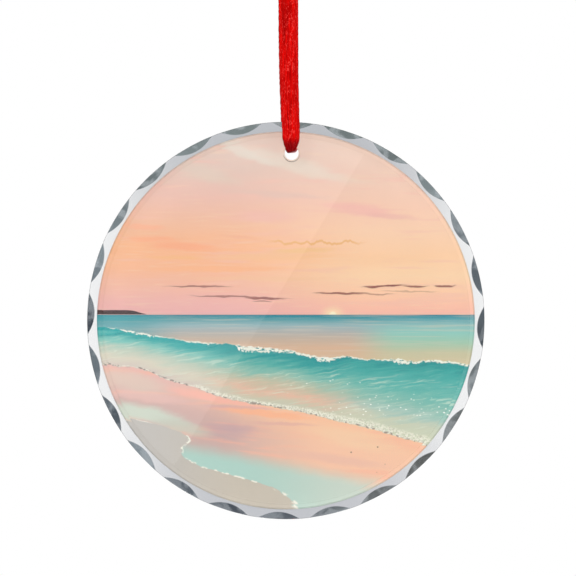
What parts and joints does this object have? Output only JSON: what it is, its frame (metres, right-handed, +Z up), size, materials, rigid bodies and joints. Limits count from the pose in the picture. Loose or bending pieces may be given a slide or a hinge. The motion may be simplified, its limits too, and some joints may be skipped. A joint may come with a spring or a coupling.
{
  "type": "hanging ornament",
  "caption": "Round cut-glass hanging ornament: a clear disc with a faceted rim and a picture printed behind it, on a narrow ribbon loop tied through a small hole.",
  "frame": {"origin": "the hanging point: inside the ribbon's loop at its top, just under the knot, where a hook or twig carries it", "axes": "+Z up along the ribbon, -Y out of the picture side of the disc, +X to the right seen from the front"},
  "size_m": [0.08, 0.0073, 0.1649],
  "materials": {
    "cut_glass": "clear crystal glass, polished faces, ground and polished bevels and facets",
    "printed_picture": "pastel seaside picture in a thin colour layer, seen through the glass",
    "white_coat": "smooth white coat on the back",
    "satin_ribbon": "bright red satin, fine lengthwise threads"
  },
  "bodies": {
    "hanger": {"ribbon_neck": "satin_ribbon", "ribbon_knot": "satin_ribbon", "ribbon_tails": "satin_ribbon"},
    "loop": {"ribbon_loop": "satin_ribbon"},
    "disc": {"glass_disc": "cut_glass", "colour_print": "printed_picture", "white_backing": "white_coat"}
  },
  "joints": [
    {"name": "ribbon_twist", "type": "hinge", "parent": "hanger", "child": "loop", "pos_m": [0, 0, -0.01], "axis": [0, 0, 1], "range_deg": [-90, 90]},
    {"name": "disc_swing", "type": "hinge", "parent": "loop", "child": "disc", "pos_m": [0.0013, 0, -0.072], "axis": [0, 1, 0], "range_deg": [-90, 90]}
  ]
}
